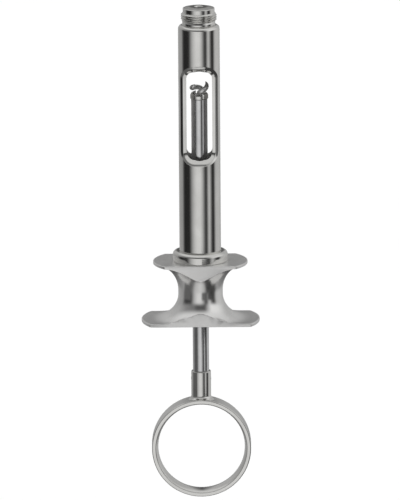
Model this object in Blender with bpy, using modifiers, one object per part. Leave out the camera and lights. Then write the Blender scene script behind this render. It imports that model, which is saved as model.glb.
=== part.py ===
"""Aspirating dental cartridge syringe, modelled upright: needle nose up, thumb ring down.

The syringe's axis is Z. The thumb ring lies in the XZ plane, the finger plates are longest along X,
and the windows of the barrel face -Y and +Y. Z is 0 at the lowest point of the thumb ring.
"""

import math

import bmesh
import bpy
from mathutils import Matrix

MM = 0.001
GAP = 0.3 * MM  # clearance between neighbouring pieces

# Driving dimensions. The barrel takes a standard 1.8 ml cartridge, 8.7 mm across.
BORE_R = 4.65 * MM
BARREL_R = 5.75 * MM
ROD_R = 2.25 * MM
GRIP_BOTTOM_Z = 49.75 * MM
GRIP_TOP_Z = 66.95 * MM
SHOULDER_Z = 133.5 * MM
NOSE_TOP_Z = 138.6 * MM

# Thumb ring and its socket
RING_R = 13.9 * MM
RING_HALF_WIDTH = 3.3 * MM
RING_RIM_WALL = 1.15 * MM
RING_CROWN = 0.6 * MM
STEM_R = 1.7 * MM
SOCKET_R = 2.75 * MM
SOCKET_BORE_R = STEM_R + GAP
SOCKET_TOP_Z = 35.6 * MM
STEM_TOP_Z = 31.3 * MM
PIN_R = 0.5 * MM
PIN_Z = 33.4 * MM

# Finger grip: two round plates and an oval waist, milled flat at the front and the back
UPPER_PLATE_R = 13.1 * MM
LOWER_PLATE_R = 16.4 * MM
UPPER_TIP = 0.6 * MM
LOWER_TIP = 0.95 * MM
WAIST_HIGH_Z = 58.6 * MM
WAIST_LOW_Z = 57.6 * MM
WAIST_HALF_X = 6.17 * MM
WAIST_OVAL = 0.2
LOWER_COVE_R = 14.0 * MM
FLAT_Y = 8.6 * MM
GRIP_BORE_R = 4.0 * MM
SEAT_BORE_R = BARREL_R + GAP
SEAT_FLOOR_Z = 64.5 * MM
GLAND_BORE_R = 5.0 * MM
GLAND_FLOOR_Z = 52.9 * MM

# Pieces inside the grip
BUSH_R = GRIP_BORE_R - GAP
BUSH_BORE_R = ROD_R + GAP
BRAKE_Z = 58.1 * MM
BRAKE_WIRE_R = 0.55 * MM
SEAT_WASHER = 0.5 * MM

# Barrel, its socket and its windows
SOCKET_RING_R = 7.6 * MM
SOCKET_RING_TOP_Z = 69.85 * MM
BARREL_FLOOR_Z = SEAT_FLOOR_Z + SEAT_WASHER + 2 * GAP
CHAMBER_TOP_Z = 131.7 * MM
SHOULDER_ROUND = 1.05 * MM
WINDOW_LOW_Z = 96.2 * MM
WINDOW_HIGH_Z = 120.9 * MM
WINDOW_HALF_X = 3.55 * MM
WINDOW_CORNER_R = 1.4 * MM
WINDOW_BEVEL = 1.4 * MM

# Needle nose
NECK_R = 4.55 * MM
THREAD_R = 4.95 * MM
RIM_R = 4.4 * MM
STUB_R = 3.0 * MM
NEEDLE_HOLE_R = 1.0 * MM
THREAD_LOW_Z = 134.5 * MM
THREAD_PITCH = 0.6 * MM
THREAD_TURNS = 4

# Piston rod, its head and the harpoon
ROD_TOP_Z = 112.6 * MM
HEAD_R = 2.5 * MM
HEAD_TOP_Z = 114.7 * MM
HEAD_SLOT_Z = 113.7 * MM
HEAD_SLOT_HALF = 0.9 * MM
SPIGOT_R = 1.2 * MM
SPIGOT_LENGTH = 4.0 * MM
HARPOON_WIRE_R = 0.4 * MM

SMOOTH_ANGLE = math.radians(35)


def clear_scene():
    for old in list(bpy.data.objects):
        bpy.data.objects.remove(old, do_unlink=True)


def make_collection(name, hidden):
    made = bpy.data.collections.new(name)
    bpy.context.scene.collection.children.link(made)
    made.hide_render = hidden
    return made


def make_material(name, colour, roughness, metallic):
    made = bpy.data.materials.new(name)
    made.use_nodes = True
    shader = made.node_tree.nodes["Principled BSDF"]
    shader.inputs["Base Color"].default_value = (*colour, 1)
    shader.inputs["Roughness"].default_value = roughness
    shader.inputs["Metallic"].default_value = metallic
    made.diffuse_color = (*colour, 1)
    return made


clear_scene()
SYRINGE = make_collection("aspirating_dental_syringe", False)
CUTTERS = make_collection("cutters", True)
POLISHED = make_material("polished_chrome", (0.62, 0.62, 0.63), 0.12, 1)
SATIN = make_material("satin_chrome", (0.66, 0.66, 0.66), 0.3, 1)
STEEL = make_material("bright_steel", (0.6, 0.6, 0.61), 0.2, 1)
BRONZE = make_material("bush_bronze", (0.62, 0.45, 0.25), 0.35, 1)
RUBBER = make_material("brake_rubber", (0.04, 0.04, 0.04), 0.7, 0)


def add_object(name, data, finish, collection=SYRINGE):
    made = bpy.data.objects.new(name, data)
    if finish:
        data.materials.append(finish)
    collection.objects.link(made)
    return made


def shade(mesh):
    mesh.shade_smooth()
    mesh.set_sharp_from_angle(angle=SMOOTH_ANGLE)


def arc(centre_r, centre_z, radius_r, radius_z, start, end, pieces):
    """Points of an elliptical arc in a profile, from the angle start to the angle end in degrees."""
    points = []
    for i in range(pieces + 1):
        angle = math.radians(start + (end - start) * i / pieces)
        points.append((centre_r + radius_r * math.cos(angle), centre_z + radius_z * math.sin(angle)))
    return points


def turned(name, profile, steps, finish, closed=True, axis="Z", collection=SYRINGE):
    """A turned piece. The profile runs down the outer side; a closed one comes back up a bore."""
    mesh = bpy.data.meshes.new(name)
    build = bmesh.new()
    if axis == "Z":
        corners = [build.verts.new((r, 0, z)) for r, z in profile]
    else:
        corners = [build.verts.new((r, z, 0)) for r, z in profile]
    for first, second in zip(corners, corners[1:]):
        build.edges.new((first, second))
    if closed:
        build.edges.new((corners[-1], corners[0]))
    build.to_mesh(mesh)
    build.free()
    made = add_object(name, mesh, finish, collection)
    screw = made.modifiers.new("turn", "SCREW")
    screw.axis = axis
    screw.steps = screw.render_steps = steps
    screw.use_merge_vertices = True
    screw.merge_threshold = 0.001 * MM
    screw.use_smooth_shade = True
    return made


def ring_profile(inner, outer, low, high, chamfer=0.0):
    """The section of a plain ring, with its two outer corners chamfered."""
    return [
        (inner, high),
        (outer - chamfer, high),
        (outer, high - chamfer),
        (outer, low + chamfer),
        (outer - chamfer, low),
        (inner, low),
    ]


def plain_ring(name, inner, outer, low, high, steps, finish, chamfer=0.0):
    profile = ring_profile(inner, outer, low, high, chamfer)
    if not chamfer:
        profile = [profile[i] for i in (0, 1, 4, 5)]
    return turned(name, profile, steps, finish)


def rod_between(name, radius, centre, length, axis, steps, finish, collection=SYRINGE):
    """A round bar whose middle is at centre, lying along axis."""
    mesh = bpy.data.meshes.new(name)
    build = bmesh.new()
    turn = {"X": Matrix.Rotation(math.pi / 2, 4, "Y"), "Z": Matrix.Identity(4)}[axis]
    bmesh.ops.create_cone(
        build, cap_ends=True, segments=steps, radius1=radius, radius2=radius, depth=length,
        matrix=Matrix.Translation(centre) @ turn,
    )
    build.to_mesh(mesh)
    build.free()
    shade(mesh)
    return add_object(name, mesh, finish, collection)


def box(name, low, high):
    mesh = bpy.data.meshes.new(name)
    build = bmesh.new()
    size = [b - a for a, b in zip(low, high)]
    middle = [(a + b) / 2 for a, b in zip(low, high)]
    place = Matrix.Translation(middle) @ Matrix.Diagonal((*size, 1))
    bmesh.ops.create_cube(build, size=1, matrix=place)
    build.to_mesh(mesh)
    build.free()
    return add_object(name, mesh, None, CUTTERS)


def cut(target, cutter):
    cutter.hide_render = True
    cutter.display_type = "WIRE"
    step = target.modifiers.new(cutter.name, "BOOLEAN")
    step.object = cutter


def loft(name, sections, finish, collection):
    """One closed skin through sections of equally many points, with flat ends."""
    mesh = bpy.data.meshes.new(name)
    build = bmesh.new()
    rows = [[build.verts.new(point) for point in section] for section in sections]
    for upper, lower in zip(rows, rows[1:]):
        for i in range(len(upper)):
            after = (i + 1) % len(upper)
            build.faces.new((upper[i], upper[after], lower[after], lower[i]))
    build.faces.new(list(reversed(rows[0])))
    build.faces.new(rows[-1])
    bmesh.ops.recalc_face_normals(build, faces=build.faces)
    build.to_mesh(mesh)
    build.free()
    shade(mesh)
    return add_object(name, mesh, finish, collection)


def make_thumb_ring():
    """A flat band bent into a ring and crowned inside for the thumb, with the stud brazed on top of it."""
    rim = RING_R - RING_RIM_WALL
    width = RING_HALF_WIDTH
    edge = 0.25 * MM
    outer = [
        (RING_R - edge, width),
        (RING_R, width - edge),
        (RING_R, edge - width),
        (RING_R - edge, -width),
    ]
    crown = []
    for i in range(5):
        side = -1 + 2 * i / 4
        crown.append((rim - RING_CROWN * (1 - side * side), side * width))
    ring = turned("thumb_ring", outer + crown, 60, POLISHED, axis="Y")
    ring.location.z = RING_R
    low = 2 * RING_R + GAP
    middle = (0, 0, (low + STEM_TOP_Z) / 2)
    rod_between("ring_stem", STEM_R, middle, STEM_TOP_Z - low, "Z", 24, STEEL)


def make_ring_socket():
    """The sleeve that joins the ring's stem to the rod, with a foot that spreads onto the ring."""
    foot_z = 2 * RING_R + GAP
    foot_r = 3.45 * MM
    flare = foot_r - SOCKET_R
    top = SOCKET_TOP_Z
    edge = 0.25 * MM
    outer = [(SOCKET_R - edge, top), (SOCKET_R, top - edge)]
    outer += arc(foot_r, foot_z + 1.8 * flare, flare, 1.6 * flare, 180, 270, 4)
    profile = [(SOCKET_BORE_R, top)] + outer + [(foot_r, foot_z), (SOCKET_BORE_R, foot_z)]
    socket = turned("ring_socket", profile, 32, POLISHED)
    hole = rod_between(
        "pin_hole", PIN_R + GAP, (0, 0, PIN_Z), 4 * SOCKET_R, "X", 12, None, CUTTERS
    )
    cut(socket, hole)
    rod_between("socket_pin", PIN_R, (0, 0, PIN_Z), 2 * SOCKET_R - 0.1 * MM, "X", 12, STEEL)
    return hole


def make_piston_rod(pin_hole):
    """A plain ground rod: a thin stub in the sleeve below, and a hole for the head's spigot above."""
    shoulder = SOCKET_TOP_Z + GAP
    stub_low = STEM_TOP_Z + GAP
    edge = 0.2 * MM
    hole_r = SPIGOT_R + GAP
    profile = [
        (0, ROD_TOP_Z - SPIGOT_LENGTH),
        (hole_r, ROD_TOP_Z - SPIGOT_LENGTH),
        (hole_r, ROD_TOP_Z),
        (ROD_R, ROD_TOP_Z),
        (ROD_R, shoulder + edge),
        (ROD_R - edge, shoulder),
        (STEM_R, shoulder),
        (STEM_R, stub_low),
        (0, stub_low),
    ]
    rod = turned("piston_rod", profile, 32, POLISHED, closed=False)
    cut(rod, pin_hole)


def make_rod_head():
    """The rounded collar on the rod's end, screwed in by a spigot and slotted across for the harpoon."""
    low = ROD_TOP_Z + GAP
    round_r = 1.1 * MM
    edge = 0.2 * MM
    spigot_low = ROD_TOP_Z - SPIGOT_LENGTH + GAP
    profile = [(0, HEAD_TOP_Z)]
    profile += arc(HEAD_R - round_r, HEAD_TOP_Z - round_r, round_r, round_r, 90, 0, 4)
    profile += [(HEAD_R, low + edge), (HEAD_R - edge, low), (SPIGOT_R, low)]
    profile += [(SPIGOT_R, spigot_low), (0, spigot_low)]
    head = turned("rod_head", profile, 24, POLISHED, closed=False)
    over = 1 * MM
    slot = box(
        "head_slot",
        (-HEAD_SLOT_HALF, -HEAD_R - over, HEAD_SLOT_Z),
        (HEAD_SLOT_HALF, HEAD_R + over, HEAD_TOP_Z + over),
    )
    cut(head, slot)


def make_harpoon():
    """The claw that bites into the plunger: one wire laid in the head's slot, both ends bent up."""
    bends = [
        (2.0, 0.5, 117.5),
        (2.2, 0.1, 116.8),
        (2.2, -0.4, 116.2),
        (1.85, -1.05, 115.8),
        (1.2, -1.6, 115.55),
        (0.5, -1.75, 115.45),
        (0.05, -1.5, 115.1),
        (0, -0.9, 114.6),
        (0, 0, 114.45),
        (0, 0.9, 114.6),
        (-0.05, 1.5, 115.1),
        (-0.5, 1.8, 115.45),
        (-1.2, 1.65, 115.55),
        (-1.8, 1.15, 115.75),
        (-2.15, 0.4, 116.0),
        (-2.15, -0.5, 116.3),
        (-1.8, -1.15, 116.7),
        (-1.35, -1.5, 117.1),
    ]
    curve = bpy.data.curves.new("harpoon", "CURVE")
    curve.dimensions = "3D"
    curve.bevel_depth = HARPOON_WIRE_R
    curve.bevel_resolution = 2
    curve.use_fill_caps = True
    line = curve.splines.new("POLY")
    line.points.add(len(bends) - 1)
    last = len(bends) - 1
    for i, (spot, bend) in enumerate(zip(line.points, bends)):
        spot.co = (*[side * MM for side in bend], 1)
        spot.radius = min(1, 0.3 + 0.35 * min(i, last - i))
    add_object("harpoon", curve, STEEL)


def grip_section(z, half_x, oval, steps):
    """One oval section of the grip, seen from above."""
    points = []
    for i in range(steps):
        angle = 2 * math.pi * i / steps
        points.append((half_x * math.cos(angle), half_x * oval * math.sin(angle), z))
    return points


def cove_sections(plate_r, reach_r, tip_z, waist_z, fade, pieces, steps):
    """Sections from a plate's tip along its hollow to the waist: a quarter of an ellipse.

    The sections are round at the plate and turn oval at the waist, the later the larger fade is."""
    sections = []
    if plate_r > reach_r:
        sections.append(grip_section(tip_z, plate_r, 1, steps))
    for i in range(pieces + 1):
        angle = math.radians(90 * i / pieces)
        half_x = reach_r - (reach_r - WAIST_HALF_X) * math.sin(angle)
        z = waist_z + (tip_z - waist_z) * math.cos(angle)
        oval = 1 + WAIST_OVAL * math.sin(angle) ** fade
        sections.append(grip_section(z, half_x, oval, steps))
    return sections


def make_finger_grip():
    """The spool the fingers pull on, turned with an oval waist, then milled flat on two sides."""
    steps = 48
    edge = 0.15 * MM
    upper_tip_z = GRIP_TOP_Z - UPPER_TIP
    lower_tip_z = GRIP_BOTTOM_Z + LOWER_TIP
    sections = [
        grip_section(GRIP_TOP_Z, UPPER_PLATE_R - edge, 1, steps),
        grip_section(GRIP_TOP_Z - edge, UPPER_PLATE_R, 1, steps),
    ]
    sections += cove_sections(UPPER_PLATE_R, UPPER_PLATE_R, upper_tip_z, WAIST_HIGH_Z, 1, 8, steps)
    sections += reversed(
        cove_sections(LOWER_PLATE_R, LOWER_COVE_R, lower_tip_z, WAIST_LOW_Z, 3, 8, steps)
    )
    sections += [
        grip_section(GRIP_BOTTOM_Z + edge, LOWER_PLATE_R, 1, steps),
        grip_section(GRIP_BOTTOM_Z, LOWER_PLATE_R - edge, 1, steps),
    ]
    grip = loft("finger_grip", sections, SATIN, SYRINGE)
    far = 20 * MM
    for side in (-1, 1):
        near, away = sorted((side * FLAT_Y, side * far))
        flat = box(f"flat_{side}", (-far, near, GRIP_BOTTOM_Z - far), (far, away, GRIP_TOP_Z + far))
        cut(grip, flat)
    over = 1 * MM
    bore_profile = [
        (0, GRIP_TOP_Z + over),
        (SEAT_BORE_R, GRIP_TOP_Z + over),
        (SEAT_BORE_R, SEAT_FLOOR_Z),
        (GRIP_BORE_R, SEAT_FLOOR_Z),
        (GRIP_BORE_R, GLAND_FLOOR_Z),
        (GLAND_BORE_R, GLAND_FLOOR_Z),
        (GLAND_BORE_R, GRIP_BOTTOM_Z - over),
        (0, GRIP_BOTTOM_Z - over),
    ]
    bore = turned("grip_bore", bore_profile, 32, None, closed=False, collection=CUTTERS)
    cut(grip, bore)


def make_grip_inside():
    """Two bushes that guide the rod, the rubber ring that brakes it, and the nut that holds them in."""
    ring_high = BRAKE_Z + BRAKE_WIRE_R + GAP
    ring_low = BRAKE_Z - BRAKE_WIRE_R - GAP
    plain_ring(
        "upper_guide_bush", BUSH_BORE_R, BUSH_R, ring_high, SEAT_FLOOR_Z - GAP, 24, BRONZE
    )
    middle_r = (BUSH_BORE_R + BUSH_R) / 2
    section = arc(middle_r, BRAKE_Z, BRAKE_WIRE_R, BRAKE_WIRE_R, 90, -270, 8)[:-1]
    turned("brake_ring", section, 24, RUBBER)
    plain_ring("lower_guide_bush", BUSH_BORE_R, BUSH_R, GLAND_FLOOR_Z, ring_low, 24, BRONZE)
    nut = plain_ring(
        "gland_nut", BUSH_BORE_R, GLAND_BORE_R - GAP, GRIP_BOTTOM_Z, GLAND_FLOOR_Z - GAP, 32, POLISHED
    )
    slot_half = 0.5 * MM
    slot_depth = 0.8 * MM
    slot = box(
        "nut_slot",
        (-GLAND_BORE_R, -slot_half, GRIP_BOTTOM_Z - slot_depth),
        (GLAND_BORE_R, slot_half, GRIP_BOTTOM_Z + slot_depth),
    )
    cut(nut, slot)


def make_barrel_seat():
    """The threaded collar on the grip that holds the barrel, and the thin washer it is screwed onto."""
    edge = 1.2 * MM
    low = GRIP_TOP_Z + GAP
    profile = [(SEAT_BORE_R, SOCKET_RING_TOP_Z)]
    profile += arc(
        SOCKET_RING_R - edge, SOCKET_RING_TOP_Z - edge, edge, edge, 90, 0, 4
    )
    profile += [(SOCKET_RING_R, low), (SEAT_BORE_R, low)]
    turned("barrel_socket", profile, 40, POLISHED)
    washer_low = SEAT_FLOOR_Z + GAP
    plain_ring(
        "barrel_seat_washer", 3.2 * MM, BARREL_R, washer_low, washer_low + SEAT_WASHER, 32, STEEL
    )


def window_outline(grow, corner, pieces=4):
    """A rounded rectangle in X and Z: the inner edge of a window, grown outwards by grow."""
    half_x = WINDOW_HALF_X + grow
    low = WINDOW_LOW_Z - grow
    high = WINDOW_HIGH_Z + grow
    points = []
    for quarter in range(4):
        side_x = 1 if quarter in (0, 3) else -1
        side_z = 1 if quarter < 2 else -1
        centre_x = side_x * (half_x - corner)
        centre_z = (high if side_z > 0 else low) - side_z * corner
        for i in range(pieces + 1):
            angle = math.radians(90 * quarter + 90 * i / pieces)
            points.append((centre_x + corner * math.cos(angle), centre_z + corner * math.sin(angle)))
    return points


def on_cylinder(outline, radius):
    """The outline laid on the front of a cylinder round the axis."""
    return [(x, -math.sqrt(radius * radius - x * x), z) for x, z in outline]


def window_cutter(name, turn):
    """The form that a bevelled window leaves: straight inside, spreading through the barrel's wall."""
    inner = window_outline(0, WINDOW_CORNER_R)
    outer = window_outline(WINDOW_BEVEL, WINDOW_CORNER_R + WINDOW_BEVEL)
    edge_in = on_cylinder(inner, BORE_R)
    edge_out = on_cylinder(outer, BARREL_R)
    past = []
    for near, away in zip(edge_in, edge_out):
        past.append([b + 0.8 * (b - a) for a, b in zip(near, away)])
    start = [(x, 0.3 * BORE_R, z) for x, z in inner]
    flat_out = [(x, -2 * BARREL_R, z) for x, _, z in past]
    cutter = loft(name, [start, edge_in, edge_out, past, flat_out], None, CUTTERS)
    cutter.rotation_euler.z = turn
    return cutter


def make_barrel():
    """A tube with a wall 1.1 mm thick and two bevelled windows. Its front end takes the nose."""
    hole_r = STUB_R + GAP
    profile = [(hole_r, SHOULDER_Z)]
    profile += arc(
        BARREL_R - SHOULDER_ROUND, SHOULDER_Z - SHOULDER_ROUND, SHOULDER_ROUND, SHOULDER_ROUND, 90, 0, 4
    )
    profile += [
        (BARREL_R, BARREL_FLOOR_Z),
        (BORE_R, BARREL_FLOOR_Z),
        (BORE_R, CHAMBER_TOP_Z),
        (hole_r, CHAMBER_TOP_Z),
    ]
    barrel = turned("barrel_tube", profile, 48, POLISHED)
    cut(barrel, window_cutter("front_window", 0))
    cut(barrel, window_cutter("back_window", math.pi))


def make_needle_nose():
    """The nose that the needle hub screws onto, with its own stub screwed into the barrel's end."""
    seat_z = SHOULDER_Z + GAP
    depth = THREAD_R - NECK_R
    thread_high = THREAD_LOW_Z + THREAD_TURNS * THREAD_PITCH
    edge = 0.5 * MM
    profile = [
        (NEEDLE_HOLE_R, NOSE_TOP_Z),
        (RIM_R - edge, NOSE_TOP_Z),
        (RIM_R, NOSE_TOP_Z - edge),
        (RIM_R, thread_high + 0.25 * MM),
    ]
    for turn in reversed(range(THREAD_TURNS)):
        middle = THREAD_LOW_Z + (turn + 0.5) * THREAD_PITCH
        profile.append((NECK_R + 0.15 * depth, middle + THREAD_PITCH / 2))
        profile.append((THREAD_R, middle + 0.1 * THREAD_PITCH))
        profile.append((THREAD_R, middle - 0.1 * THREAD_PITCH))
    profile += [
        (NECK_R, THREAD_LOW_Z),
        (NECK_R, seat_z),
        (STUB_R, seat_z),
        (STUB_R, CHAMBER_TOP_Z),
        (NEEDLE_HOLE_R, CHAMBER_TOP_Z),
    ]
    turned("needle_nose", profile, 36, POLISHED)


make_thumb_ring()
pin_hole = make_ring_socket()
make_piston_rod(pin_hole)
make_rod_head()
make_harpoon()
make_finger_grip()
make_grip_inside()
make_barrel_seat()
make_barrel()
make_needle_nose()
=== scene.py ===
"""The looks of an aspirating dental cartridge syringe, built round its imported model.

Lengths are metres. Z is the syringe's axis, with the needle nose up, and its front faces -Y.
"""

import math

import bmesh
import bpy
from mathutils import Matrix, Vector


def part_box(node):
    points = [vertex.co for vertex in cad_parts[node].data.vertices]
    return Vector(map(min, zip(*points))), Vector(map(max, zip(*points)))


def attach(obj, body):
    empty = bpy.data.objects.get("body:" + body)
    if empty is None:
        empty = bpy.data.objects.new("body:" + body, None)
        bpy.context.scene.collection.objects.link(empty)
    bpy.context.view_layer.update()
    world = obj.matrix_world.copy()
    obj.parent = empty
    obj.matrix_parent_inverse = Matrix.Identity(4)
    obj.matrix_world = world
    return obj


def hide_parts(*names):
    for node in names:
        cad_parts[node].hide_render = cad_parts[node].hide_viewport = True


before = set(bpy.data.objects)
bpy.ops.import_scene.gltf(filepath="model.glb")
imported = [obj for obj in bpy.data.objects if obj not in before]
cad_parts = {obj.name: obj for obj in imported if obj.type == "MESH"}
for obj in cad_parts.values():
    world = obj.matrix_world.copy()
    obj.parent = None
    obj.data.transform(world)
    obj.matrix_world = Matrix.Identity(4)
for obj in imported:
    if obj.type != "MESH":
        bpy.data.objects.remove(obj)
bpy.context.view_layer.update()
mm = 0.001

# The camera: a long lens three metres away, looking a little down on the needle end. The syringe
# leans very slightly to the left in its frame.
scene = bpy.context.scene
camera_distance = 3
camera_height_angle = math.radians(12.3)
picture_height = 0.1386
look_at = Vector((-0.00007, 0, 0.0698))
lean = math.radians(0.39)
towards_camera = Vector((0, -math.cos(camera_height_angle), math.sin(camera_height_angle)))
camera_data = bpy.data.cameras.new("camera")
camera_data.sensor_width = 36
camera_data.lens = camera_data.sensor_width * camera_distance / picture_height
camera_data.clip_start = 0.1
camera = bpy.data.objects.new("camera", camera_data)
scene.collection.objects.link(camera)
camera.location = look_at + towards_camera * camera_distance
facing = (-towards_camera).to_track_quat("-Z", "Y").to_matrix().to_4x4()
camera.matrix_world = Matrix.Translation(camera.location) @ facing @ Matrix.Rotation(-lean, 4, "Z")
scene.camera = camera
scene.view_settings.view_transform = "Standard"


# The studio: white paper lights the syringe from all round. Its metal mirrors a ring of soft boxes
# with black flags between them, so that ring is drawn in the world, by compass direction.
def add_node(tree, kind, **settings):
    node = tree.nodes.new(kind)
    for key, value in settings.items():
        setattr(node, key, value)
    return node


def fill_ramp(ramp_node, stops, low=0, high=1):
    """Greys along a ramp. Each stop is (place between low and high, brightness)."""
    ramp = ramp_node.color_ramp
    while len(ramp.elements) > 1:
        ramp.elements.remove(ramp.elements[-1])
    for i, (place, value) in enumerate(stops):
        share = (place - low) / (high - low)
        stop = ramp.elements[0] if i == 0 else ramp.elements.new(share)
        stop.position = share
        stop.color = (value, value, value, 1)


world = bpy.data.worlds.new("studio")
scene.world = world
world.use_nodes = True
sky = world.node_tree
sky.nodes.clear()
direction = add_node(sky, "ShaderNodeTexCoord")
parts = add_node(sky, "ShaderNodeSeparateXYZ")
back = add_node(sky, "ShaderNodeMath", operation="MULTIPLY")
back.inputs[1].default_value = -1
compass = add_node(sky, "ShaderNodeMath", operation="ARCTAN2")
turn_share = add_node(sky, "ShaderNodeMapRange")
turn_share.inputs["From Min"].default_value = -math.pi
turn_share.inputs["From Max"].default_value = math.pi
ring_of_lights = add_node(sky, "ShaderNodeValToRGB")
# Each light, flag or space between them is (degrees to the right of the camera, brightness)
lights = [
    (-180, 0.14), (-166, 0.44), (-112, 0.34), (-101, 0.1), (-92, 0.022), (-62, 0.026), (-56, 0.08),
    (-50, 0.2), (-44, 0.36), (-36, 0.52), (-28, 0.66), (-16, 0.78), (2, 0.78), (8, 0.66), (15, 0.5),
    (21, 0.3), (27, 0.12), (34, 0.045), (39, 0.08), (44, 0.28), (50, 0.54), (56, 0.58), (62, 0.34),
    (68, 0.13), (74, 0.04), (80, 0.026), (86, 0.09), (92, 0.32), (100, 0.55), (120, 0.6), (166, 0.44),
    (180, 0.14),
]
fill_ramp(ring_of_lights, lights, low=-180, high=180)
height_share = add_node(sky, "ShaderNodeMapRange")
height_share.inputs["From Min"].default_value = -1
# Below the ring: pale paper in front, greyer on the left, and flags on the right and right behind
below = add_node(sky, "ShaderNodeValToRGB")
below_lights = [
    (-180, 0.05), (-150, 0.2), (-110, 0.35), (-92, 0.16), (-55, 0.16), (-36, 0.55), (0, 0.72),
    (24, 0.5), (40, 0.08), (90, 0.05), (108, 0.35), (150, 0.2), (180, 0.05),
]
fill_ramp(below, below_lights, low=-180, high=180)
# Above the ring: a flag in front, a bright box on the right and a narrow flag right behind
above = add_node(sky, "ShaderNodeValToRGB")
above_lights = [
    (-180, 0.1), (-168, 0.5), (-120, 0.42), (-80, 0.22), (-40, 0.16), (-20, 0.06), (24, 0.06), (40, 0.4),
    (60, 0.85), (100, 0.8), (140, 0.5), (168, 0.5), (180, 0.1),
]
fill_ramp(above, above_lights, low=-180, high=180)
# How each gives way to the next, from the dark floor up, by the sine of the angle of height
leave_floor = add_node(sky, "ShaderNodeValToRGB")
fill_ramp(leave_floor, [(-0.97, 0), (-0.9, 1)], low=-1, high=1)
leave_below = add_node(sky, "ShaderNodeValToRGB")
fill_ramp(leave_below, [(-0.4, 0), (-0.26, 1)], low=-1, high=1)
reach_above = add_node(sky, "ShaderNodeValToRGB")
fill_ramp(reach_above, [(0.06, 0), (0.24, 1)], low=-1, high=1)
reach_top = add_node(sky, "ShaderNodeValToRGB")
fill_ramp(reach_top, [(0.5, 0), (0.75, 1)], low=-1, high=1)
floor_grey = 0.03
overhead_grey = 0.72
floor_mixed = add_node(sky, "ShaderNodeMix", data_type="RGBA")
floor_mixed.inputs["A"].default_value = (floor_grey, floor_grey, floor_grey, 1)
low_mixed = add_node(sky, "ShaderNodeMix", data_type="RGBA")
high_mixed = add_node(sky, "ShaderNodeMix", data_type="RGBA")
mixed = add_node(sky, "ShaderNodeMix", data_type="RGBA")
mixed.inputs["B"].default_value = (overhead_grey, overhead_grey, overhead_grey, 1)
reflected = add_node(sky, "ShaderNodeBackground")
paper_light = add_node(sky, "ShaderNodeBackground")
paper_light.inputs["Color"].default_value = (1, 1, 1, 1)
paper_light.inputs["Strength"].default_value = 1.05
ray = add_node(sky, "ShaderNodeLightPath")
choose = add_node(sky, "ShaderNodeMixShader")
sky_out = add_node(sky, "ShaderNodeOutputWorld")
for start, end in [
    (direction.outputs["Generated"], parts.inputs[0]),
    (parts.outputs["Y"], back.inputs[0]),
    (parts.outputs["X"], compass.inputs[0]),
    (back.outputs[0], compass.inputs[1]),
    (compass.outputs[0], turn_share.inputs["Value"]),
    (turn_share.outputs[0], ring_of_lights.inputs[0]),
    (parts.outputs["Z"], height_share.inputs["Value"]),
    (turn_share.outputs[0], below.inputs[0]),
    (turn_share.outputs[0], above.inputs[0]),
    (height_share.outputs[0], leave_below.inputs[0]),
    (height_share.outputs[0], reach_above.inputs[0]),
    (height_share.outputs[0], reach_top.inputs[0]),
    (leave_below.outputs[0], low_mixed.inputs["Factor"]),
    (height_share.outputs[0], leave_floor.inputs[0]),
    (leave_floor.outputs[0], floor_mixed.inputs["Factor"]),
    (below.outputs[0], floor_mixed.inputs["B"]),
    (floor_mixed.outputs["Result"], low_mixed.inputs["A"]),
    (ring_of_lights.outputs[0], low_mixed.inputs["B"]),
    (reach_above.outputs[0], high_mixed.inputs["Factor"]),
    (low_mixed.outputs["Result"], high_mixed.inputs["A"]),
    (above.outputs[0], high_mixed.inputs["B"]),
    (reach_top.outputs[0], mixed.inputs["Factor"]),
    (high_mixed.outputs["Result"], mixed.inputs["A"]),
    (mixed.outputs["Result"], reflected.inputs["Color"]),
    (ray.outputs["Is Glossy Ray"], choose.inputs[0]),
    (paper_light.outputs[0], choose.inputs[1]),
    (reflected.outputs[0], choose.inputs[2]),
    (choose.outputs[0], sky_out.inputs[0]),
]:
    sky.links.new(start, end)


# The floor: plain white paper, far enough below for the piston to be drawn right back. The metal
# doesn't mirror it, because the world already holds what lies below.
bpy.ops.object.select_all(action="DESELECT")
floor_drop = 0.056
bpy.ops.mesh.primitive_plane_add(size=12, location=(0, 0, -floor_drop))
floor = bpy.context.object
floor.name = "paper_floor"
floor.visible_glossy = False
paper = bpy.data.materials.new("white_paper")
paper.use_nodes = True
paper_shader = paper.node_tree.nodes["Principled BSDF"]
paper_shader.inputs["Roughness"].default_value = 0.9
paper_shader.inputs["Specular IOR Level"].default_value = 0
fibres = add_node(paper.node_tree, "ShaderNodeTexNoise")
fibres.inputs["Scale"].default_value = 900
paper_tone = add_node(paper.node_tree, "ShaderNodeValToRGB")
fill_ramp(paper_tone, [(0.3, 0.955), (0.7, 0.975)])
paper_place = add_node(paper.node_tree, "ShaderNodeTexCoord")
paper.node_tree.links.new(paper_place.outputs["Object"], fibres.inputs["Vector"])
paper.node_tree.links.new(fibres.outputs["Fac"], paper_tone.inputs[0])
paper.node_tree.links.new(paper_tone.outputs[0], paper_shader.inputs["Base Color"])
floor.data.materials.append(paper)


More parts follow.
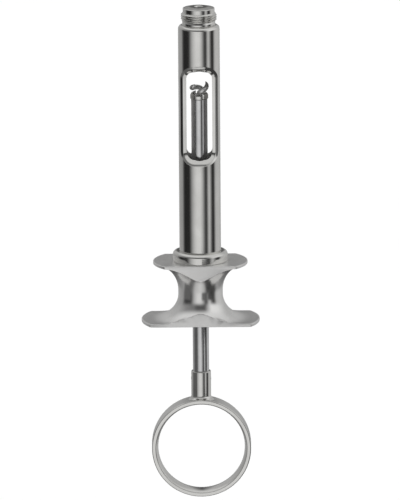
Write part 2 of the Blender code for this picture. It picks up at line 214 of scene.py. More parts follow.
# Four cards stand close by, level with the grip and below it: black flags on the right and in
# front, and a dark card on the left. Only what the lower pieces mirror is changed by them.
def make_card(name, compass_angle, half_width, low, high, brightness):
    """A glowing card that only reflections show, compass_angle degrees to the right of the front."""
    bpy.ops.object.select_all(action="DESELECT")
    away = 90 * mm
    angle = math.radians(compass_angle)
    place = (away * math.sin(angle), -away * math.cos(angle), (low + high) / 2)
    bpy.ops.mesh.primitive_plane_add(size=1, location=place, rotation=(math.pi / 2, 0, angle))
    card = bpy.context.object
    card.name = name
    card.scale = (2 * half_width, high - low, 1)
    face = bpy.data.materials.new(name)
    face.use_nodes = True
    shader = face.node_tree.nodes["Principled BSDF"]
    shader.inputs["Base Color"].default_value = (0, 0, 0, 1)
    shader.inputs["Specular IOR Level"].default_value = 0
    shader.inputs["Emission Color"].default_value = (1, 1, 1, 1)
    shader.inputs["Emission Strength"].default_value = brightness
    card.data.materials.append(face)
    card.visible_camera = False
    card.visible_diffuse = False
    card.visible_shadow = False


make_card("flag_beside_grip", 57, half_width=20 * mm, low=26 * mm, high=48 * mm, brightness=0.04)
make_card("flag_beside_sleeve", 54, half_width=20 * mm, low=-50 * mm, high=8 * mm, brightness=0.05)
make_card("flag_in_front", 22, half_width=24 * mm, low=26 * mm, high=50 * mm, brightness=0.1)
make_card("card_on_left", -80, half_width=34 * mm, low=-60 * mm, high=48 * mm, brightness=0.12)


# The barrel: a drawn tube with a wall of 1.1 mm, shouldered at the front, with two windows milled
# through it and their edges bevelled and polished. Chromium plated over brass.
def fillet(corners, pieces=6):
    """An outline with rounded corners. Each corner is (radius from the axis, height, rounding), and
    each rounding has a holding point beside it, which keeps the flat next to it flat when shaded."""
    points = []
    for i, (x, z, rounding) in enumerate(corners):
        here = Vector((x, z))
        if rounding == 0 or i in (0, len(corners) - 1):
            points.append(here)
            continue
        before = Vector(corners[i - 1][:2]) - here
        after = Vector(corners[i + 1][:2]) - here
        half = before.angle(after) / 2
        reach = rounding / math.tan(half)
        before.normalize()
        after.normalize()
        centre = here + (before + after).normalized() * rounding / math.sin(half)
        first = here + before * reach - centre
        sweep = first.angle_signed(here + after * reach - centre)
        hold = min(0.25 * rounding, 0.06 * mm)
        points.append(here + before * (reach + hold))
        for j in range(pieces + 1):
            angle = -sweep * j / pieces
            points.append(centre + Matrix.Rotation(angle, 2) @ first)
        points.append(here + after * (reach + hold))
    return points


def draw_outline(name, points, closed=True):
    """A chain of edges from point to point: one vertex, drawn out by extruding it."""
    bpy.ops.object.select_all(action="DESELECT")
    bpy.ops.mesh.primitive_plane_add(size=mm, location=(0, 0, 0))
    piece = bpy.context.object
    piece.name = piece.data.name = name
    bpy.ops.object.mode_set(mode="EDIT")
    bpy.ops.mesh.select_all(action="SELECT")
    bpy.ops.mesh.merge(type="CENTER")
    bpy.ops.transform.translate(value=points[0])
    for last, point in zip(points, points[1:] + points[:1] * closed):
        step = [b - a for a, b in zip(last, point)]
        bpy.ops.mesh.extrude_region_move(TRANSFORM_OT_translate={"value": step})
    bpy.ops.mesh.select_all(action="SELECT")
    if closed:
        bpy.ops.mesh.remove_doubles(threshold=0.001 * mm)
    return piece


def settle_order(piece):
    """Lays a mesh out again in the order of its points' places. Spin leaves its faces in an order
    that changes from run to run, and the cuts and bevels after it would change a little too."""
    places = [tuple(vertex.co) for vertex in piece.data.vertices]
    order = sorted(range(len(places)), key=places.__getitem__)
    new_number = {old: new for new, old in enumerate(order)}
    faces = []
    for face in piece.data.polygons:
        loop = [new_number[old] for old in face.vertices]
        first = loop.index(min(loop))
        faces.append(loop[first:] + loop[:first])
    piece.data.clear_geometry()
    piece.data.from_pydata([places[old] for old in order], [], sorted(faces))


def spin_outline(piece, steps, centre=(0, 0, 0), axis=(0, 0, 1)):
    """Spins the drawn outline right round and closes the seam."""
    bpy.ops.mesh.select_all(action="SELECT")
    bpy.ops.mesh.spin(steps=steps, angle=2 * math.pi, center=centre, axis=axis)
    bpy.ops.mesh.select_all(action="SELECT")
    bpy.ops.mesh.remove_doubles(threshold=0.001 * mm)
    bpy.ops.mesh.normals_make_consistent(inside=False)
    bpy.ops.object.mode_set(mode="OBJECT")
    settle_order(piece)
    return piece


def turn_piece(name, outline, steps=128, closed=True):
    """A piece turned round the syringe's axis from an outline of (radius, height)."""
    points = [(x, 0, z) for x, z in outline]
    return spin_outline(draw_outline(name, points, closed), steps)


def smooth(piece, degrees=32):
    """Shades a piece smooth, apart from the edges that turn by more than so many degrees."""
    bpy.ops.object.select_all(action="DESELECT")
    piece.select_set(True)
    bpy.context.view_layer.objects.active = piece
    bpy.ops.object.shade_smooth_by_angle(angle=math.radians(degrees))


def apply_all(piece):
    """Applies a piece's modifiers, in their order."""
    bpy.ops.object.select_all(action="DESELECT")
    piece.select_set(True)
    bpy.context.view_layer.objects.active = piece
    for step in [m.name for m in piece.modifiers]:
        bpy.ops.object.modifier_apply(modifier=step)


def make_metal_grain():
    """The marks that plated metal carries: fine lines from drawing or turning, and faint smears."""
    group = bpy.data.node_groups.new("metal_grain", "ShaderNodeTree")
    for name in ("Lines along", "Place"):
        group.interface.new_socket(name, in_out="INPUT", socket_type="NodeSocketVector")
    for name in ("Line scale", "Smear scale"):
        group.interface.new_socket(name, in_out="INPUT", socket_type="NodeSocketFloat")
    for name in ("Lines", "Smears", "Height"):
        group.interface.new_socket(name, in_out="OUTPUT", socket_type="NodeSocketFloat")
    given = add_node(group, "NodeGroupInput")
    made = add_node(group, "NodeGroupOutput")
    lines = add_node(group, "ShaderNodeTexNoise")
    lines.inputs["Detail"].default_value = 5
    lines.inputs["Roughness"].default_value = 0.65
    smears = add_node(group, "ShaderNodeTexNoise")
    smears.inputs["Detail"].default_value = 4
    smears.inputs["Distortion"].default_value = 0.6
    hairs = add_node(group, "ShaderNodeTexNoise")
    hairs.inputs["Scale"].default_value = 2600
    hairs.inputs["Detail"].default_value = 2
    both = add_node(group, "ShaderNodeMath", operation="MULTIPLY_ADD")
    both.inputs[1].default_value = 0.3
    for start, end in [
        (given.outputs["Lines along"], lines.inputs["Vector"]),
        (given.outputs["Line scale"], lines.inputs["Scale"]),
        (given.outputs["Place"], smears.inputs["Vector"]),
        (given.outputs["Smear scale"], smears.inputs["Scale"]),
        (given.outputs["Place"], hairs.inputs["Vector"]),
        (hairs.outputs["Fac"], both.inputs[0]),
        (lines.outputs["Fac"], both.inputs[2]),
        (lines.outputs["Fac"], made.inputs["Lines"]),
        (smears.outputs["Fac"], made.inputs["Smears"]),
        (both.outputs[0], made.inputs["Height"]),
    ]:
        group.links.new(start, end)
    return group


metal_grain = make_metal_grain()


def make_plated_metal(name, dark, light, gloss, line_stretch, line_scale, depth, smear_scale=140):
    """A metal finish. dark and light are its colours, gloss its least and greatest roughness, and
    depth how deep its lines are cut. line_stretch scales the place along X, Y and Z, so that the
    grain's lines run the right way."""
    finish = bpy.data.materials.new(name)
    finish.use_nodes = True
    tree = finish.node_tree
    shader = tree.nodes["Principled BSDF"]
    shader.inputs["Metallic"].default_value = 1
    place = add_node(tree, "ShaderNodeTexCoord")
    stretch = add_node(tree, "ShaderNodeMapping")
    stretch.inputs["Scale"].default_value = line_stretch
    grain = add_node(tree, "ShaderNodeGroup", node_tree=metal_grain)
    grain.inputs["Line scale"].default_value = line_scale
    grain.inputs["Smear scale"].default_value = smear_scale
    colour = add_node(tree, "ShaderNodeMix", data_type="RGBA")
    colour.inputs["A"].default_value = (*dark, 1)
    colour.inputs["B"].default_value = (*light, 1)
    spread = add_node(tree, "ShaderNodeMapRange")
    spread.inputs["From Min"].default_value = 0.35
    spread.inputs["From Max"].default_value = 0.65
    rough = add_node(tree, "ShaderNodeMapRange")
    rough.inputs["From Min"].default_value = 0.3
    rough.inputs["From Max"].default_value = 0.7
    rough.inputs["To Min"].default_value = gloss[0]
    rough.inputs["To Max"].default_value = gloss[1]
    bump = add_node(tree, "ShaderNodeBump")
    bump.inputs["Strength"].default_value = 1
    bump.inputs["Distance"].default_value = depth
    for start, end in [
        (place.outputs["Object"], stretch.inputs["Vector"]),
        (stretch.outputs[0], grain.inputs["Lines along"]),
        (place.outputs["Object"], grain.inputs["Place"]),
        (grain.outputs["Smears"], spread.inputs["Value"]),
        (spread.outputs[0], colour.inputs["Factor"]),
        (colour.outputs["Result"], shader.inputs["Base Color"]),
        (grain.outputs["Lines"], rough.inputs["Value"]),
        (rough.outputs[0], shader.inputs["Roughness"]),
        (grain.outputs["Height"], bump.inputs["Height"]),
        (bump.outputs[0], shader.inputs["Normal"]),
    ]:
        tree.links.new(start, end)
    return finish


drawn_chrome = make_plated_metal(
    "drawn_chrome",
    dark=(0.7, 0.695, 0.675),
    light=(0.77, 0.765, 0.745),
    gloss=(0.06, 0.14),
    line_stretch=(1, 1, 0.02),
    line_scale=2600,
    depth=0.0004 * mm,
)

barrel_low, barrel_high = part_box("barrel_tube")
barrel_r = barrel_high.x
bore_r = 4.65 * mm
chamber_top = 131.7 * mm
nose_hole_r = 3.02 * mm
window_low = 96.2 * mm
window_high = 120.9 * mm
window_half = 3.55 * mm
window_corner = 2.1 * mm
# The window's lip from the bore to the outside, as (how far out from the window's edge, radius)
window_lip = [
    (0.3 * mm, 4.5 * mm), (0.1 * mm, 4.6 * mm), (0.01 * mm, 4.68 * mm), (0.08 * mm, 4.74 * mm),
    (0.3 * mm, 4.91 * mm), (0.55 * mm, 5.12 * mm), (0.8 * mm, 5.33 * mm), (0.95 * mm, 5.435 * mm),
    (1.1 * mm, 5.515 * mm), (1.3 * mm, 5.6 * mm), (1.5 * mm, 5.675 * mm), (1.65 * mm, 5.745 * mm),
    (1.8 * mm, 5.86 * mm),
]
# The wall has close rows past the windows, for their edges to join
rows_high = window_high + 4 * mm
rows_low = window_low - 4 * mm
rows_apart = 0.6 * mm
rows_between = int((window_high - window_low + 8 * mm) / rows_apart)
wall = fillet([
    (nose_hole_r, barrel_high.z, 0),
    (barrel_r, barrel_high.z, 1.1 * mm),
    (barrel_r, rows_high, 0),
])
for row in range(1, rows_between):
    wall.append((barrel_r, rows_high - row * rows_apart))
wall += fillet([
    (barrel_r, rows_low, 0),
    (barrel_r, barrel_low.z, 0.15 * mm),
    (bore_r, barrel_low.z, 0.15 * mm),
    (bore_r, rows_low, 0),
])
for row in range(1, rows_between):
    wall.append((bore_r, rows_low + row * rows_apart))
wall += fillet([
    (bore_r, rows_high, 0),
    (bore_r, chamber_top, 0.4 * mm),
    (nose_hole_r, chamber_top, 0),
])
barrel = turn_piece("barrel", wall, steps=160)


def window_outline(grow, pieces=10):
    """The window's inner edge, a rounded rectangle in X and Z, grown outwards by grow."""
    corner = window_corner + max(grow, -0.8 * window_corner)
    points = []
    for quarter in range(4):
        side_x = 1 if quarter in (0, 3) else -1
        side_z = 1 if quarter < 2 else -1
        middle_x = side_x * (window_half + grow - corner)
        edge_z = window_high + grow if side_z > 0 else window_low - grow
        for i in range(pieces + 1):
            angle = math.radians(90 * quarter + 90 * i / pieces)
            x = middle_x + corner * math.cos(angle)
            z = edge_z - side_z * corner + corner * math.sin(angle)
            points.append((x, z))
    return points


def window_cutter(name, side):
    """A closed form with the shape that a bevelled window leaves, on the front or the back."""
    form = bmesh.new()
    rows = []
    near_y = side * 0.3 * bore_r
    far_y = side * 2 * barrel_r
    inner = window_outline(window_lip[0][0])
    rows.append([form.verts.new((x, near_y, z)) for x, z in inner])
    for grow, radius in window_lip:
        row = []
        for x, z in window_outline(grow):
            row.append(form.verts.new((x, side * math.sqrt(radius * radius - x * x), z)))
        rows.append(row)
    far = window_outline(window_lip[-1][0])
    rows.append([form.verts.new((x, far_y, z)) for x, z in far])
    for low_row, high_row in zip(rows, rows[1:]):
        for i in range(len(low_row)):
            j = (i + 1) % len(low_row)
            form.faces.new((low_row[i], low_row[j], high_row[j], high_row[i]))
    form.faces.new(rows[0])
    form.faces.new(rows[-1])
    bmesh.ops.recalc_face_normals(form, faces=form.faces)
    data = bpy.data.meshes.new(name)
    form.to_mesh(data)
    form.free()
    cutter = bpy.data.objects.new(name, data)
    scene.collection.objects.link(cutter)
    return cutter


for cutter in (window_cutter("front_cutter", -1), window_cutter("back_cutter", 1)):
    milling = barrel.modifiers.new("milling", "BOOLEAN")
    milling.object = cutter
    apply_all(barrel)
    bpy.data.objects.remove(cutter)
bpy.ops.object.mode_set(mode="EDIT")
bpy.ops.mesh.select_all(action="SELECT")
bpy.ops.mesh.remove_doubles(threshold=0.03 * mm)
bpy.ops.object.mode_set(mode="OBJECT")
smooth(barrel)
# The bore is only bored, so it stays duller than the drawn outside, and it is painted lighter
bored_chrome_painted_lighter = make_plated_metal(
    "bored_chrome_painted_lighter",
    # Painted light: a little lighter than the drawn chrome, to lift the shade inside the bore
    dark=(0.72, 0.715, 0.7),
    light=(0.8, 0.795, 0.78),
    gloss=(0.34, 0.46),
    line_stretch=(0.02, 0.02, 1),
    line_scale=3000,
    depth=0.001 * mm,
)
barrel.data.materials.append(drawn_chrome)
barrel.data.materials.append(bored_chrome_painted_lighter)
# The bore's faces take the rougher chrome with the painted lighter colour
bored_r = bore_r + 0.02 * mm
for face in barrel.data.polygons:
    corners = [barrel.data.vertices[number].co for number in face.vertices]
    in_bore = all(math.hypot(corner.x, corner.y) < bored_r for corner in corners)
    face.material_index = int(in_bore)
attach(barrel, "barrel")
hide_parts("barrel_tube")


# The needle nose: turned from brass bar and plated, with a fine thread rolled round it for the
# needle hub and a small hole down the middle. Its stub is screwed into the barrel's end.
turned_chrome = make_plated_metal(
    "turned_chrome",
    dark=(0.7, 0.695, 0.675),
    light=(0.77, 0.765, 0.745),
    gloss=(0.06, 0.14),
    line_stretch=(0.02, 0.02, 1),
    line_scale=5000,
    depth=0.0003 * mm,
)
nose_low, nose_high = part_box("needle_nose")
thread_crest = 4.95 * mm
thread_root = 4.5 * mm
neck_r = 4.57 * mm
rim_r = 4.4 * mm
stub_r = 3 * mm
needle_hole_r = 1 * mm
thread_low = 134.5 * mm
thread_high = 136.95 * mm
pitch = 0.6 * mm
dome_r = rim_r - 1.9 * mm
dome_drop = 0.42 * mm
dome_rounding = 3 * mm
seat_z = barrel_high.z + 0.01 * mm
nose_outline = fillet([
    (needle_hole_r, nose_high.z - 0.25 * mm, 0),
    (needle_hole_r + 0.25 * mm, nose_high.z, 0.1 * mm),
    (dome_r, nose_high.z, dome_rounding),
    (rim_r, nose_high.z - dome_drop, 0.2 * mm),
    (rim_r, thread_high + 0.05 * mm, 0),
])
thread_rows = 48
for row in range(thread_rows + 1):
    nose_outline.append((thread_root, thread_high + (thread_low - thread_high) * row / thread_rows))
nose_outline += fillet([
    (neck_r, thread_low - 0.08 * mm, 0),
    (neck_r, seat_z, 0.12 * mm),
    (stub_r, seat_z, 0),
    (stub_r, nose_low.z, 0.1 * mm),
    (needle_hole_r, nose_low.z, 0),
])
nose = turn_piece("nose", nose_outline, steps=144)
# The thread winds round the plain rows and runs out at its ends
run_out = 0.5 * mm
for vertex in nose.data.vertices:
    place = vertex.co
    radius = math.hypot(place.x, place.y)
    if abs(radius - thread_root) > 0.01 * mm:
        continue
    turn = math.atan2(place.y, place.x) / (2 * math.pi)
    wave = math.cos(2 * math.pi * (place.z / pitch - turn))
    from_ends = min(place.z - thread_low, thread_high - place.z) / run_out
    ridge = max(0, min(1, 0.5 + 0.62 * wave)) * max(0, min(1, from_ends))
    grown = (thread_root + (thread_crest - thread_root) * ridge) / radius
    place.x *= grown
    place.y *= grown
smooth(nose, degrees=50)
nose.data.materials.append(turned_chrome)
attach(nose, "barrel")
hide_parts("needle_nose")


# The barrel's socket: a plain turned collar, threaded inside and brazed to the top of the grip, its
# upper edge well rounded. The barrel screws down into it.
collar_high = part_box("barrel_socket")[1]
grip_low, grip_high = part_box("finger_grip")
collar_r = collar_high.x
collar_bore = barrel_r + 0.03 * mm
collar_foot = grip_high.z + 0.01 * mm
collar = turn_piece("collar", fillet([
    (collar_bore, collar_foot, 0),
    (collar_bore, collar_high.z, 0.12 * mm),
    (collar_r, collar_high.z, 1.1 * mm),
    (collar_r, collar_foot, 0.15 * mm),
    (collar_bore, collar_foot, 0),
])[:-1])
smooth(collar)
collar.data.materials.append(turned_chrome)
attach(collar, "grip")
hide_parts("barrel_socket")


# The finger grip: a spool turned with an oval waist, its two plates milled flat at the front and
# the back and dulled with fine abrasive, the edges rounded off by hand.
spool_chrome = make_plated_metal(
    "spool_chrome",
    dark=(0.76, 0.755, 0.745),
    light=(0.84, 0.835, 0.825),
    gloss=(0.3, 0.42),
    line_stretch=(1, 1, 0.6),
    line_scale=2200,
    depth=0.0016 * mm,
    smear_scale=90,
)
upper_r = 13.1 * mm
lower_r = grip_high.x
upper_tip = 0.8 * mm
lower_tip = 0.95 * mm
waist_high = 58.6 * mm
waist_low = 57.6 * mm
waist_x = 6.17 * mm
waist_oval = 0.2
cove_r = 14 * mm
flat_y = grip_high.y
seat_r = 6.05 * mm
seat_floor = 64.5 * mm
guide_r = 4 * mm
gland_r = 5 * mm
gland_floor = 52.9 * mm
upper_cove_z = grip_high.z - upper_tip
lower_cove_z = grip_low.z + lower_tip
spool = fillet([
    (seat_r, grip_high.z, 0),
    (upper_r, grip_high.z, 0.2 * mm),
    (upper_r, upper_cove_z, 0.18 * mm),
    (upper_r - 0.8 * mm, upper_cove_z, 0),
])[:-1]
cove_pieces = 26
for piece_no in range(2, cove_pieces + 1):
    angle = math.radians(90 * piece_no / cove_pieces)
    spool.append((
        upper_r - (upper_r - waist_x) * math.sin(angle),
        waist_high + (upper_cove_z - waist_high) * math.cos(angle),
    ))
for piece_no in range(cove_pieces, -1, -1):
    angle = math.radians(90 * piece_no / cove_pieces)
    spool.append((
        cove_r - (cove_r - waist_x) * math.sin(angle),
        waist_low + (lower_cove_z - waist_low) * math.cos(angle),
    ))
spool += fillet([
    (lower_r - 1.2 * mm, lower_cove_z, 0),
    (lower_r, lower_cove_z, 0.3 * mm),
    (lower_r, grip_low.z, 0.3 * mm),
    (gland_r, grip_low.z, 0.15 * mm),
    (gland_r, gland_floor, 0),
    (guide_r, gland_floor, 0),
    (guide_r, seat_floor, 0),
    (seat_r, seat_floor, 0),
    (seat_r, grip_high.z, 0),
])[:-1]
grip = turn_piece("grip", spool, steps=160)
for vertex in grip.data.vertices:
    place = vertex.co
    if math.hypot(place.x, place.y) < seat_r + 0.05 * mm or not lower_cove_z < place.z < upper_cove_z:
        continue
    up = max(0, (place.z - waist_high) / (upper_cove_z - waist_high))
    down = max(0, (place.z - waist_low) / (lower_cove_z - waist_low))
    place.y *= 1 + waist_oval * math.sqrt(1 - up * up) * math.sqrt(1 - down * down) ** 3
bpy.ops.object.mode_set(mode="EDIT")
for side in (-1, 1):
    bpy.ops.mesh.select_all(action="SELECT")
    bpy.ops.mesh.bisect(
        plane_co=(0, side * flat_y, 0), plane_no=(0, side, 0), use_fill=True, clear_outer=True
    )
bpy.ops.object.mode_set(mode="OBJECT")
rounding = grip.modifiers.new("rounding", "BEVEL")
rounding.width = 0.12 * mm
rounding.segments = 3
rounding.angle_limit = math.radians(30)
rounding.use_clamp_overlap = False
apply_all(grip)
for vertex in grip.data.vertices:
    vertex.co.y = max(-flat_y, min(flat_y, vertex.co.y))
smooth(grip)
# The finger hollows are buffed bright, and the satin stays on the flats, on top and further out
hollow_x = 7.2 * mm
satin_x = 9.8 * mm
buffed_roughness = 0.2
spool_tree = spool_chrome.node_tree
spool_shader = spool_tree.nodes["Principled BSDF"]
spool_bump = spool_tree.nodes["Bump"]
satin_rough = spool_shader.inputs["Roughness"].links[0].from_socket
spot_place = add_node(spool_tree, "ShaderNodeTexCoord")
spot_parts = add_node(spool_tree, "ShaderNodeSeparateXYZ")
spread_x = add_node(spool_tree, "ShaderNodeMath", operation="ABSOLUTE")
out_along_plate = add_node(spool_tree, "ShaderNodeMapRange", interpolation_type="SMOOTHSTEP")
out_along_plate.inputs["From Min"].default_value = hollow_x
out_along_plate.inputs["From Max"].default_value = satin_x
spread_y = add_node(spool_tree, "ShaderNodeMath", operation="ABSOLUTE")
on_flat = add_node(spool_tree, "ShaderNodeMapRange")
on_flat.inputs["From Min"].default_value = flat_y - 0.06 * mm
on_flat.inputs["From Max"].default_value = flat_y - 0.02 * mm
on_top = add_node(spool_tree, "ShaderNodeMapRange")
on_top.inputs["From Min"].default_value = grip_high.z - 0.3 * mm
on_top.inputs["From Max"].default_value = grip_high.z - 0.1 * mm
satin_1 = add_node(spool_tree, "ShaderNodeMath", operation="MAXIMUM")
satin_2 = add_node(spool_tree, "ShaderNodeMath", operation="MAXIMUM")
buffing = add_node(spool_tree, "ShaderNodeMix", data_type="FLOAT")
buffing.inputs["A"].default_value = buffed_roughness
for start, end in [
    (spot_place.outputs["Object"], spot_parts.inputs[0]),
    (spot_parts.outputs["X"], spread_x.inputs[0]),
    (spread_x.outputs[0], out_along_plate.inputs["Value"]),
    (spot_parts.outputs["Y"], spread_y.inputs[0]),
    (spread_y.outputs[0], on_flat.inputs["Value"]),
    (spot_parts.outputs["Z"], on_top.inputs["Value"]),
    (out_along_plate.outputs[0], satin_1.inputs[0]),
    (on_flat.outputs[0], satin_1.inputs[1]),
    (satin_1.outputs[0], satin_2.inputs[0]),
    (on_top.outputs[0], satin_2.inputs[1]),
    (satin_2.outputs[0], buffing.inputs["Factor"]),
    (satin_rough, buffing.inputs["B"]),
    (buffing.outputs["Result"], spool_shader.inputs["Roughness"]),
    (satin_2.outputs[0], spool_bump.inputs["Strength"]),
]:
    spool_tree.links.new(start, end)
grip.data.materials.append(spool_chrome)
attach(grip, "grip")
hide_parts("finger_grip")


# Inside the grip: two bronze bushes that guide the rod, a moulded rubber ring between them that
# brakes it, the slotted nut that holds them in, and the washer under the barrel. The ring's own
# stem, hidden in the sleeve, is steel like the washer.
bush_bronze = make_plated_metal(
    "bush_bronze",
    dark=(0.5, 0.34, 0.17),
    light=(0.66, 0.47, 0.26),
    gloss=(0.25, 0.4),
    line_stretch=(0.02, 0.02, 1),
    line_scale=4000,
    depth=0.001 * mm,
)
ground_steel = make_plated_metal(
    "ground_steel",
    dark=(0.55, 0.55, 0.56),
    light=(0.68, 0.68, 0.69),
    gloss=(0.15, 0.28),
    line_stretch=(1, 1, 0.03),
    line_scale=4000,
    depth=0.0005 * mm,
)
rubber = bpy.data.materials.new("moulded_rubber")
rubber.use_nodes = True
rubber_shader = rubber.node_tree.nodes["Principled BSDF"]
rubber_shader.inputs["Roughness"].default_value = 0.6
bloom = add_node(rubber.node_tree, "ShaderNodeTexNoise")
bloom.inputs["Scale"].default_value = 1500
rubber_place = add_node(rubber.node_tree, "ShaderNodeTexCoord")
rubber_tone = add_node(rubber.node_tree, "ShaderNodeValToRGB")
fill_ramp(rubber_tone, [(0.35, 0.015), (0.7, 0.04)])
rubber.node_tree.links.new(rubber_place.outputs["Object"], bloom.inputs["Vector"])
rubber.node_tree.links.new(bloom.outputs["Fac"], rubber_tone.inputs[0])
rubber.node_tree.links.new(rubber_tone.outputs[0], rubber_shader.inputs["Base Color"])
for node_name, finish in [
    ("upper_guide_bush", bush_bronze),
    ("lower_guide_bush", bush_bronze),
    ("brake_ring", rubber),
    ("barrel_seat_washer", ground_steel),
    ("gland_nut", turned_chrome),
    ("ring_stem", ground_steel),
]:
    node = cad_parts[node_name]
    node.data.materials.clear()
    node.data.materials.append(finish)


# The piston rod: ground stainless bar, left plain because it slides through the bushes, with a thin
# threaded stub below that goes into the sleeve.
rod_steel = make_plated_metal(
    "rod_steel",
    dark=(0.62, 0.62, 0.625),
    light=(0.73, 0.73, 0.735),
    gloss=(0.1, 0.2),
    line_stretch=(1, 1, 0.015),
    line_scale=3500,
    depth=0.0003 * mm,
)
sleeve_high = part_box("ring_socket")[1]
rod_low, rod_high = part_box("piston_rod")
rod_r = rod_high.x
rod_foot = sleeve_high.z + 0.01 * mm
rod_stub_r = 1.7 * mm
rod = turn_piece("rod", fillet([
    (0, rod_high.z, 0),
    (rod_r, rod_high.z, 0.12 * mm),
    (rod_r, rod_foot, 0.12 * mm),
    (rod_stub_r, rod_foot, 0),
    (rod_stub_r, rod_low.z, 0.1 * mm),
    (0, rod_low.z, 0),
]), steps=96, closed=False)
smooth(rod)
rod.data.materials.append(rod_steel)
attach(rod, "piston")
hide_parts("piston_rod")


# The rod's head: a small rounded collar turned from bar and screwed into the rod's end. A slot is
# sawn across its top, and the harpoon's wire lies in it.
head_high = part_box("rod_head")[1]
head_r = head_high.x
head_foot = rod_high.z + 0.01 * mm
head = turn_piece("head", fillet([
    (0, head_high.z, 0),
    (head_r, head_high.z, 1.15 * mm),
    (head_r, head_foot, 0.3 * mm),
    (0, head_foot, 0),
]), steps=96, closed=False)
bpy.ops.object.select_all(action="DESELECT")
slot_floor = 113.7 * mm
slot_half = 0.9 * mm
slot_size = 4 * mm
bpy.ops.mesh.primitive_cube_add(size=1, location=(0, 0, slot_floor + slot_size / 2))
slot_cutter = bpy.context.object
slot_cutter.scale = (2 * slot_half, 2 * slot_size, slot_size)
slot_rounding = slot_cutter.modifiers.new("rounding", "BEVEL")
slot_rounding.width = 0.35 * mm
slot_rounding.segments = 5
sawing = head.modifiers.new("sawing", "BOOLEAN")
sawing.object = slot_cutter
easing = head.modifiers.new("easing", "BEVEL")
easing.width = 0.07 * mm
easing.segments = 2
easing.angle_limit = math.radians(40)
apply_all(head)
bpy.data.objects.remove(slot_cutter)
smooth(head)
head.data.materials.append(turned_chrome)
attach(head, "piston")
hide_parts("rod_head")


# The harpoon: one hard steel wire laid in the head's slot, its two ends bent up and round the same
# way and ground to points, so that they turn into the cartridge's rubber plunger.
wire_r = 0.4 * mm
# The wire's route from the right point to the left one, as (X, Y, Z, share of wire_r)
bends = [
    (1.75, 0.3, 117.4, 0.2), (2.05, 0.1, 117.0, 0.9), (2.15, -0.3, 116.4, 1.5),
    (1.9, -0.9, 115.8, 1.75), (1.2, -1.35, 115.3, 1.75), (0.3, -1.3, 114.9, 1.6),
    (-0.2, -0.5, 114.4, 1.4), (0, 0.4, 114.3, 1.3), (0.8, 1.2, 114.8, 1.5),
    (0.6, 1.8, 115.3, 1.65), (-0.5, 1.8, 115.6, 1.7), (-1.5, 1.2, 115.6, 1.75),
    (-2.0, 0.3, 115.6, 1.75), (-2.0, -0.6, 115.9, 1.7), (-1.6, -1.2, 116.4, 1.3),
    (-1.2, -1.5, 116.9, 0.3),
]
wire = bpy.data.curves.new("harpoon_wire", "CURVE")
wire.dimensions = "3D"
wire.bevel_depth = wire_r
wire.bevel_resolution = 6
wire.use_fill_caps = True
wire.resolution_u = 8
line = wire.splines.new("NURBS")
line.points.add(len(bends) - 1)
for spot, (x, y, z, thick) in zip(line.points, bends):
    spot.co = (x * mm, y * mm, z * mm, 1)
    spot.radius = thick
line.order_u = 4
line.use_endpoint_u = True
harpoon = bpy.data.objects.new("harpoon_wire", wire)
scene.collection.objects.link(harpoon)
bpy.ops.object.select_all(action="DESELECT")
harpoon.select_set(True)
bpy.context.view_layer.objects.active = harpoon
bpy.ops.object.convert(target="MESH")
harpoon = bpy.context.object
bpy.ops.object.mode_set(mode="EDIT")
bpy.ops.mesh.select_all(action="SELECT")
bpy.ops.mesh.remove_doubles(threshold=0.001 * mm)
bpy.ops.mesh.normals_make_consistent(inside=False)
bpy.ops.object.mode_set(mode="OBJECT")
smooth(harpoon, degrees=60)
harpoon.data.materials.clear()
wire_steel = make_plated_metal(
    "wire_steel",
    dark=(0.78, 0.78, 0.775),
    light=(0.88, 0.88, 0.875),
    gloss=(0.3, 0.42),
    line_stretch=(1, 1, 0.3),
    line_scale=4000,
    depth=0.0005 * mm,
)
harpoon.data.materials.append(wire_steel)
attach(harpoon, "piston")
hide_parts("harpoon")


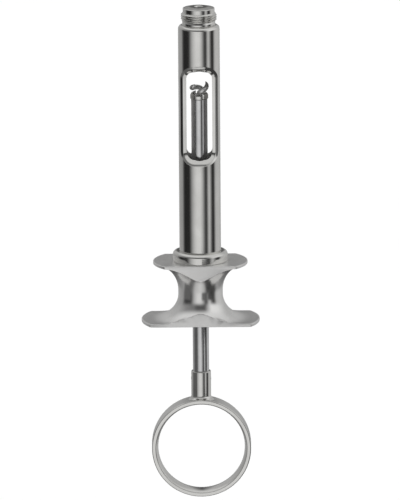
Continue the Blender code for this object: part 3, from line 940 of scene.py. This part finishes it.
# The sleeve: a short turned tube that joins rod and ring. Its foot spreads onto the ring's band,
# where it is brazed, and a pin through it locks the rod's stub.
ring_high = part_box("thumb_ring")[1]
ring_trim = 0.12 * mm
ring_r = ring_high.x - ring_trim
ring_mid = ring_high.z - ring_r
sleeve_r = 2.75 * mm
foot_r = 3.55 * mm
sleeve_bore = rod_stub_r + 0.03 * mm
foot_z = ring_high.z + 0.01 * mm
saddle_height = 1.5 * mm
sleeve = turn_piece("sleeve", fillet([
    (sleeve_bore, foot_z, 0),
    (sleeve_bore, sleeve_high.z, 0.1 * mm),
    (sleeve_r, sleeve_high.z, 0.25 * mm),
    (sleeve_r, foot_z + 0.45 * mm, 0.9 * mm),
    (foot_r, foot_z + 0.06 * mm, 0.05 * mm),
    (foot_r, foot_z, 0),
    (sleeve_bore, foot_z, 0),
])[:-1], steps=96)
for vertex in sleeve.data.vertices:
    place = vertex.co
    near_ring = max(0, min(1, 1 - (place.z - foot_z) / saddle_height))
    place.z -= near_ring * (ring_r - math.sqrt(ring_r * ring_r - place.x * place.x))
smooth(sleeve)
sleeve.data.materials.append(turned_chrome)
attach(sleeve, "piston")
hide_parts("ring_socket")


# The pin: a bit of ground steel wire driven across through the sleeve and the rod's stub, and
# dressed off almost flush at both ends.
pin_low, pin_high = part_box("socket_pin")
pin_z = (pin_low.z + pin_high.z) / 2
pin_r = pin_high.y
pin_reach = sleeve_r + 0.03 * mm
pin_outline = fillet([
    (0, pin_reach, 0),
    (pin_r, pin_reach, 0.1 * mm),
    (pin_r, -pin_reach, 0.1 * mm),
    (0, -pin_reach, 0),
])
pin = draw_outline("pin", [(x, 0, pin_z + r) for r, x in pin_outline], closed=False)
spin_outline(pin, steps=32, centre=(0, 0, pin_z), axis=(1, 0, 0))
smooth(pin)
pin.data.materials.append(ground_steel)
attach(pin, "piston")
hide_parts("socket_pin")


# The thumb ring: a flat band bent into a ring, crowned inside so that it is kind to the thumb, with
# its rims rounded, and polished all over.
ring_half = ring_high.y
ring_centre = (0, 0, ring_mid)
rim_wall = 1.15 * mm
inner_r = ring_r - rim_wall
crown = 0.6 * mm
band = fillet([
    (ring_r, 0, 0),
    (ring_r, -ring_half, 0.3 * mm),
    (inner_r, -ring_half, 0.25 * mm),
    (inner_r - 0.1 * mm, -0.8 * ring_half, 0),
])[:-1]
crown_pieces = 16
for piece_no in range(1, crown_pieces):
    across = -1 + 2 * piece_no / crown_pieces
    band.append((inner_r - crown * (1 - across * across), across * ring_half))
band += fillet([
    (inner_r - 0.1 * mm, 0.8 * ring_half, 0),
    (inner_r, ring_half, 0.25 * mm),
    (ring_r, ring_half, 0.3 * mm),
    (ring_r, 0, 0),
])[1:-1]
thumb_ring = draw_outline("ring", [(x, y, ring_mid) for x, y in band])
spin_outline(thumb_ring, steps=192, centre=ring_centre, axis=(0, 1, 0))
smooth(thumb_ring)
thumb_ring.data.materials.append(turned_chrome)
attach(thumb_ring, "piston")
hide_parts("thumb_ring")
